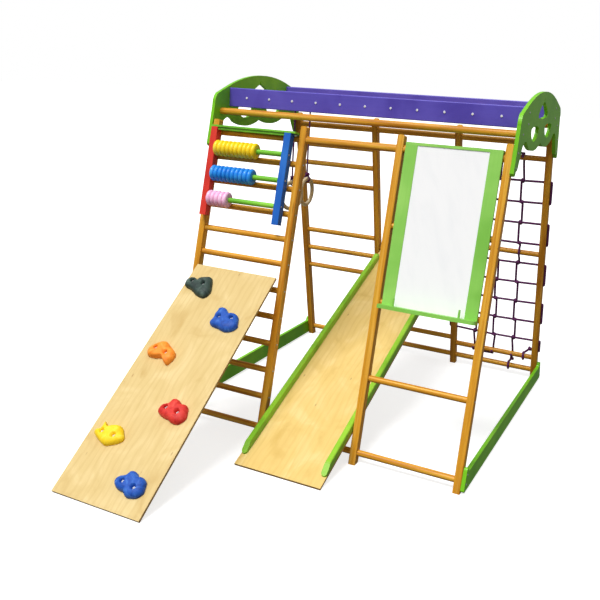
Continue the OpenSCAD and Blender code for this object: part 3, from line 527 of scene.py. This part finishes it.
# outline of each hold's shoulder: across and up, in mm from the middle of the bolts
OUTLINE = {
    "grey": [(-66, -18), (-69, 5), (-56, 22), (-34, 26), (-11, 17), (-4, 32), (19, 41), (46, 46),
             (58, 29), (70, 2), (80, -27), (77, -51), (64, -67), (45, -69), (17, -61), (-7, -46),
             (-32, -34), (-53, -29)],
    "blue_upper": [(-64, -37), (-60, -25), (-58, -6), (-61, 12), (-57, 27), (-56, 44), (-44, 53), (-23, 50),
                   (-4, 34), (9, 26), (27, 33), (49, 24), (60, 5), (66, -14), (72, -26), (65, -44), (49, -58),
                   (28, -65), (8, -63), (-14, -56), (-40, -53), (-56, -46)],
    "orange": [(-55, -30), (-67, -4), (-52, 22), (-25, 45), (-3, 52), (27, 36), (68, 8), (75, -20), (67, -43),
               (61, -56), (47, -53), (30, -37), (18, -29), (-14, -36), (-38, -37)],
    "red": [(-61, -18), (-62, 0), (-55, 15), (-31, 28), (-25, 46), (-13, 55), (7, 51), (25, 37), (46, 39),
            (60, 28), (67, 7), (73, -10), (67, -30), (49, -48), (22, -49), (0, -40), (-20, -38), (-44, -30)],
    "yellow": [(-69, -9), (-67, 1), (-52, 9), (-48, 18), (-46, 30), (-47, 48), (-31, 36), (-23, 29), (-9, 37),
               (13, 46), (33, 47), (48, 38), (61, 22), (73, 5), (72, -9), (56, -25), (36, -36), (14, -46),
               (-3, -45), (-29, -34), (-57, -19)],
    "blue_lower": [(-61, -13), (-68, -1), (-65, 13), (-54, 24), (-37, 31), (-28, 41), (-23, 53), (-12, 58),
                   (3, 56), (19, 45), (28, 42), (42, 44), (56, 37), (64, 27), (69, 7), (73, -8), (66, -24),
                   (51, -38), (30, -44), (15, -46), (0, -39), (-8, -29), (-19, -30), (-44, -25)],
}
# height of each layer of a hold, and how far it draws in from the outline, in mm
LAYERS = [(-3, 0.0), (8, -1.0), (15, 1.0), (21, 4.5), (26, 10.0), (29, 16.5), (31, 24.0)]


def rounded(outline, step=4):
    """A smooth closed line through the points of an outline."""
    n = len(outline)
    points = []
    for i in range(n):
        a, b, c, d = (Vector(outline[(i + k) % n]) for k in (-1, 0, 1, 2))
        for j in range(step):
            t = j / step
            points.append(0.5 * (2 * b + (c - a) * t + (2 * a - 5 * b + 4 * c - d) * t ** 2
                                 + (3 * b - a - 3 * c + d) * t ** 3))
    return points


def raised_outline(line):
    """A solid raised layer by layer from a line of points, drawn in towards their middle."""
    body = bmesh.new()
    middle = sum(line, Vector((0, 0))) / len(line)
    reach = sum((p - middle).length for p in line) / len(line)
    about_middle = Matrix.Translation((-middle.x / 1000, -middle.y / 1000, 0))
    floor = LAYERS[0][0] / 1000
    top = body.faces.new([body.verts.new((p.x / 1000, p.y / 1000, floor)) for p in line])
    for (low, wide), (high, narrow) in zip(LAYERS, LAYERS[1:]):
        lifted = bmesh.ops.extrude_face_region(body, geom=[top])["geom"]
        top = next(g for g in lifted if isinstance(g, bmesh.types.BMFace))
        bmesh.ops.translate(body, verts=top.verts, vec=(0, 0, (high - low) / 1000))
        shrink = (reach - narrow) / (reach - wide)
        bmesh.ops.scale(body, verts=top.verts, vec=(shrink, shrink, 1), space=about_middle)
    bmesh.ops.recalc_face_normals(body, faces=body.faces)
    bmesh.ops.triangulate(body, faces=[f for f in body.faces if len(f.verts) > 4])
    return body


def bolt_wells(turn):
    """The space that a turned pair of bolts and their recesses take."""
    wells = bmesh.new()
    spun = Matrix.Rotation(math.radians(turn), 4, "Z")
    for side in (-1, 1):
        for low, high, r1, r2 in WELL_STEPS:
            at = spun @ Matrix.Translation((side * BOLT_SPAN / 2, 0, (low + high) / 2))
            bmesh.ops.create_cone(wells, cap_ends=True, segments=32, radius1=r1, radius2=r2,
                                  depth=high - low, matrix=at)
    mesh = bpy.data.meshes.new("wells")
    wells.to_mesh(mesh)
    wells.free()
    tool = bpy.data.objects.new("wells", mesh)
    bpy.context.scene.collection.objects.link(tool)
    return tool


def make_hold(name):
    across, along, turn = HOLD_AT[name]
    mesh = baked(raised_outline(rounded(OUTLINE[name])),
                 ("REMESH", {"mode": "VOXEL", "voxel_size": CAST_SKIN}),
                 ("SMOOTH", {"factor": 0.6, "iterations": 12}))
    cast = bmesh.new()
    cast.from_mesh(mesh)
    bpy.data.meshes.remove(mesh)
    # a flat back, just clear of the board
    cut = bmesh.ops.bisect_plane(cast, geom=cast.verts[:] + cast.edges[:] + cast.faces[:], dist=1e-6,
                                 plane_co=(0, 0, BACK_GAP), plane_no=(0, 0, -1), clear_outer=True)
    rim = [e for e in cut["geom_cut"] if isinstance(e, bmesh.types.BMEdge)]
    bmesh.ops.holes_fill(cast, edges=rim)
    tool = bolt_wells(turn)
    mesh = baked(cast, ("BOOLEAN", {"operation": "DIFFERENCE", "object": tool, "solver": "EXACT",
                                    "use_self": True}))
    bpy.data.objects.remove(tool)
    mesh.transform(RAMP_PLACE @ Matrix.Translation((across / 1000, along / 1000, RAMP_T)))
    return piece("climbing_hold_" + name, mesh, RESIN[name], "ramp", "hold_" + name)


for hold in HOLD_AT:
    make_hold(hold)


# ---- ropes ------------------------------------------------------------------
def rope_curve(name, runs, diameter, body, *stands_for):
    """A tube along each run of points."""
    data = bpy.data.curves.new(name, "CURVE")
    data.dimensions = "3D"
    data.bevel_depth = diameter / 2
    data.bevel_resolution = 2
    data.use_fill_caps = True
    data.resolution_u = 3
    for points, closed in runs:
        spline = data.splines.new("NURBS")
        spline.points.add(len(points) - 1)
        for p, at in zip(spline.points, points):
            p.co = (*at, 1)
        spline.order_u = 3
        spline.use_endpoint_u = not closed
        spline.use_cyclic_u = closed
    obj = bpy.data.objects.new(name, data)
    bpy.context.scene.collection.objects.link(obj)
    mesh = bpy.data.meshes.new_from_object(obj.evaluated_get(bpy.context.evaluated_depsgraph_get()))
    bpy.data.objects.remove(obj)
    return piece(name, mesh, finish["climbing_net"], body, *stands_for)


def loop_round(centre, axis, radius, count=16):
    """Points of a closed ring round an axis."""
    axis = Vector(axis).normalized()
    side = axis.orthogonal().normalized()
    turns = [Matrix.Rotation(2 * math.pi * i / count, 4, axis) for i in range(count)]
    return [centre + turn @ side * radius for turn in turns], True


KNOT_DEPTH = -1.4


def knot(centre, axis, size, count=30):
    """A trefoil drawn up tight round a cord that runs along the axis."""
    turn = Vector((0, 0, 1)).rotation_difference(Vector(axis))
    points = []
    for i in range(count):
        t = 2 * math.pi * i / count
        p = Vector((math.sin(t) + 2 * math.sin(2 * t), math.cos(t) - 2 * math.cos(2 * t),
                    KNOT_DEPTH * math.sin(3 * t)))
        points.append(centre + turn @ p * size / 3)
    return points, True


# places across the frame, heights and depths of the net's ropes
NET_X = (1.074, 1.183, 1.293)
NET_ROWS = [1.148 - 0.1137 * k for k in range(9)]
NET_LEFT, NET_RIGHT = 2 * BAY, FRAME_W
ROPE_SHOWN = 0.0122
WRAP = ROPE_SHOWN / 2
LOOP_R = (RUNG_D + ROPE_SHOWN) / 2
PAST_POST = POST_W + 0.006
SAG = (0.003, 0.005, 0.003)
SWAY = 0.006
HIGH_RUNG, MID_RUNG, LOW_RUNG, LOWEST_RUNG = 1.266, 0.751, 0.131, 0.054
# the row above the middle rung, and the way round that rung: height above it, share of the way out
ROW_ABOVE_MID = 3
ROUND_MID_RUNG = ((0.037, 0), (0.024, 0.65), (0.010, 1), (-0.010, 1), (-0.024, 0.65), (-0.037, 0))
RUNG_STANDOFF = 0.030
TAIL_Z = 0.178
TAIL_KNOT_Z = 0.099
TIE_X = 1.354
TAIL_X = TIE_X + 0.034


def net_row(k):
    z = NET_ROWS[k]
    knots = []
    for x, sag in zip(NET_X, SAG):
        lift = random.uniform(-0.001, 0.001)
        knots += [rear_point(x - 0.008, z - sag + lift), rear_point(x + 0.008, z - sag - lift)]
    return [rear_point(NET_LEFT - WRAP, z), rear_point(NET_LEFT + PAST_POST, z), *knots,
            rear_point(NET_RIGHT - PAST_POST, z), rear_point(NET_RIGHT + WRAP, z)]


def twice(points):
    """Each point given twice, which keeps the curve's corners tight."""
    return [p for at in points for p in (at, at)]


def over_rung(x, z, way):
    """The rope's way from in front of a rung to behind it, over the top (1) or under (-1)."""
    points = []
    for degrees in (0, 45, 90, 135, 180):
        a = math.radians(degrees)
        points.append(rear_point(x, z + way * LOOP_R * math.sin(a), POST_D / 2 + LOOP_R * math.cos(a)))
    return points


def hanging_rope(i):
    """One of the ropes that hang through the rows, stepping to the other side at every knot."""
    x, sag = NET_X[i], SAG[i]
    points = over_rung(x - 0.004, HIGH_RUNG, 1) + [rear_point(x, HIGH_RUNG - RUNG_STANDOFF)]
    for k, z in enumerate(NET_ROWS):
        side = SWAY if (i + k) % 2 == 0 else -SWAY
        z -= sag
        points += twice([rear_point(x + side, z + 0.010), rear_point(x - side, z - 0.010)])
        if k == ROW_ABOVE_MID:
            for rise, out in ROUND_MID_RUNG:
                points.append(rear_point(x - side, MID_RUNG + rise, POST_D / 2 + out * LOOP_R))
    points.append(rear_point(x, LOW_RUNG + RUNG_STANDOFF))
    return points + list(reversed(over_rung(x - 0.004, LOW_RUNG, -1)))


def make_net():
    route = []
    for k in range(len(NET_ROWS)):
        row = net_row(k)
        if k % 2:
            row.reverse()
        route += row
    tail = rear_point(TAIL_X, TAIL_Z + 0.005)
    route += [rear_point(NET_RIGHT + WRAP, TAIL_Z), rear_point(NET_RIGHT - PAST_POST, TAIL_Z),
              tail, rear_point(TIE_X + 0.004, LOW_RUNG + LOOP_R + 0.002)]
    runs = [(twice(route), False)]
    knots = [(tail, (0.7, 0, 0.7), 0.0078),
             (rear_point(NET_X[2] - 0.002, TAIL_KNOT_Z), (0.2, 0.2, 1), 0.0072),
             (rear_point(NET_LEFT - 0.006, NET_ROWS[0]), (1, 0, 0), 0.0062)]
    for x, z in ((TIE_X, LOW_RUNG), (NET_X[2] - 0.019, LOWEST_RUNG)):
        runs.append(loop_round(rear_point(x, z), (1, 0.10, 0.04), LOOP_R))
    for i, (x, sag) in enumerate(zip(NET_X, SAG)):
        runs.append((hanging_rope(i), False))
        for k, z in enumerate(NET_ROWS):
            tilt = 0.25 * (-1) ** (i + k)
            knots.append((rear_point(x, z - sag), (0.6, tilt, 0.7), 0.0080))
    for at, axis, size in knots:
        runs.append(knot(at, axis, size))
    # free ends, as places across and up in the plane of the rear posts
    high, low = HIGH_RUNG + LOOP_R, LOW_RUNG - LOOP_R
    left, middle, right = NET_X
    ends = [[(left - 0.054, high + 0.001), (left - 0.03, high + 0.003), (left + 0.006, high)],
            [(right - 0.024, high + 0.002), (right + 0.004, high)],
            [(middle - 0.058, low - 0.002), (middle - 0.03, low), (middle + 0.002, low)],
            [(right - 0.002, low), (right - 0.002, TAIL_KNOT_Z), (right - 0.019, LOWEST_RUNG + LOOP_R)]]
    runs += [([rear_point(*at) for at in end], False) for end in ends]
    rope_curve("net_ropes", runs, ROPE_SHOWN, "frame", "climbing_net")


make_net()

RING_X = 0.2205
RING_R = (0.160 - 0.021) / 2
RING_Z = 1.008
RING_RUNG_Z = 1.505
CORD_D = 0.009
KNOT_CORD_D = CORD_D * 0.92
RUNG_LOOP_R, RING_LOOP_R = 0.0192, 0.0158
LOOP_PARTING = 0.0044
CORD_DRIFT = 0.0012
CORD_STEPS = 20


def make_ring_cord(name, y, turn, body):
    top = frame_point(RING_X, y, RING_RUNG_Z)
    grip = frame_point(RING_X, y, RING_Z + RING_R)
    aside = Matrix.Rotation(math.radians(turn), 3, "Z") @ Vector((0, 1, 0))
    ties = [loop_round(top + Vector((0, s, 0)), (0, 1, s * 18), RUNG_LOOP_R, 20)
            for s in (-LOOP_PARTING, LOOP_PARTING)]
    ties.append(loop_round(grip, aside, RING_LOOP_R, 20))
    ties.append(knot(top + Vector((0, 0, -0.030)), (0, 0, 1), 0.0090))
    ties.append(knot(grip + Vector((0, 0, 0.024)), (0, 0, 1), 0.0105))
    tied = rope_curve("cord_knots_" + name, ties, KNOT_CORD_D, body)
    start, end = top + Vector((0, 0, -0.019)), grip + Vector((0, 0, 0.016))
    # the weight of the ring keeps the cord nearly straight
    path = []
    for k in range(CORD_STEPS + 1):
        drift = CORD_DRIFT * math.sin(2 * math.pi * k / CORD_STEPS)
        path.append(start.lerp(end, k / CORD_STEPS) + Vector((drift, 0, 0)))
    cord = rope_curve("hanging_cord_" + name, [(path, False)], CORD_D, body, "ring_cord_" + name)


make_ring_cord("front", -0.025, -21, "ring_front")
make_ring_cord("rear", 0.147, 0, "ring_rear")


# ---- studio -----------------------------------------------------------------
FLOOR_GLOW = 0.7
SKY_BELOW, SKY_ABOVE, SKY_SEEN = 0.14, 0.44, 1.0
KEY_ENERGY = 3.25
KEY_ANGLE = math.radians(28)
KEY_AIM = Vector((0.12, 0.46, -0.89))


def make_floor():
    floor = bmesh.new()
    bmesh.ops.create_grid(floor, x_segments=2, y_segments=2, size=30)
    mesh = bpy.data.meshes.new("floor")
    floor.to_mesh(mesh)
    floor.free()
    obj = bpy.data.objects.new("floor", mesh)
    bpy.context.scene.collection.objects.link(obj)
    m = Nodes("studio_floor")
    tone = m.ramp(m.noise(m.mapped(), 0.8, 2, 0.5), [(0.3, (0.60, 0.60, 0.60)), (0.7, (0.62, 0.62, 0.62))])
    m.shader.inputs["Emission Color"].default_value = (1, 1, 1, 1)
    m.shader.inputs["Emission Strength"].default_value = FLOOR_GLOW
    mesh.materials.append(m.finish(tone, 0.9, specular=0.0))
    # the floor doesn't light the underside of the object
    obj.visible_diffuse = False
    obj.visible_glossy = False


def make_sky():
    """White behind the object; the light it gives is dimmer, and dimmer still from below."""
    world = bpy.data.worlds.new("studio")
    world.use_nodes = True
    tree = world.node_tree
    background = tree.nodes["Background"]
    coords = tree.nodes.new("ShaderNodeTexCoord")
    height = tree.nodes.new("ShaderNodeSeparateXYZ")
    tree.links.new(coords.outputs["Generated"], height.inputs[0])
    glow = tree.nodes.new("ShaderNodeMapRange")
    tree.links.new(height.outputs["Z"], glow.inputs["Value"])
    for key, value in (("From Min", -0.3), ("From Max", 0.3), ("To Min", SKY_BELOW), ("To Max", SKY_ABOVE)):
        glow.inputs[key].default_value = value
    path = tree.nodes.new("ShaderNodeLightPath")
    strength = tree.nodes.new("ShaderNodeMix")
    tree.links.new(path.outputs["Is Camera Ray"], strength.inputs["Factor"])
    tree.links.new(glow.outputs["Result"], strength.inputs["A"])
    strength.inputs["B"].default_value = SKY_SEEN
    background.inputs["Color"].default_value = (1, 1, 1, 1)
    tree.links.new(strength.outputs["Result"], background.inputs["Strength"])
    bpy.context.scene.world = world


def make_key():
    data = bpy.data.lights.new("key", "SUN")
    data.energy = KEY_ENERGY
    data.angle = KEY_ANGLE
    light = bpy.data.objects.new("key", data)
    light.rotation_euler = KEY_AIM.to_track_quat("-Z", "Y").to_euler()
    light.location = (-0.6, -2.2, 4.3)
    bpy.context.scene.collection.objects.link(light)


make_floor()
make_sky()
make_key()
bpy.context.scene.view_settings.view_transform = "Standard"
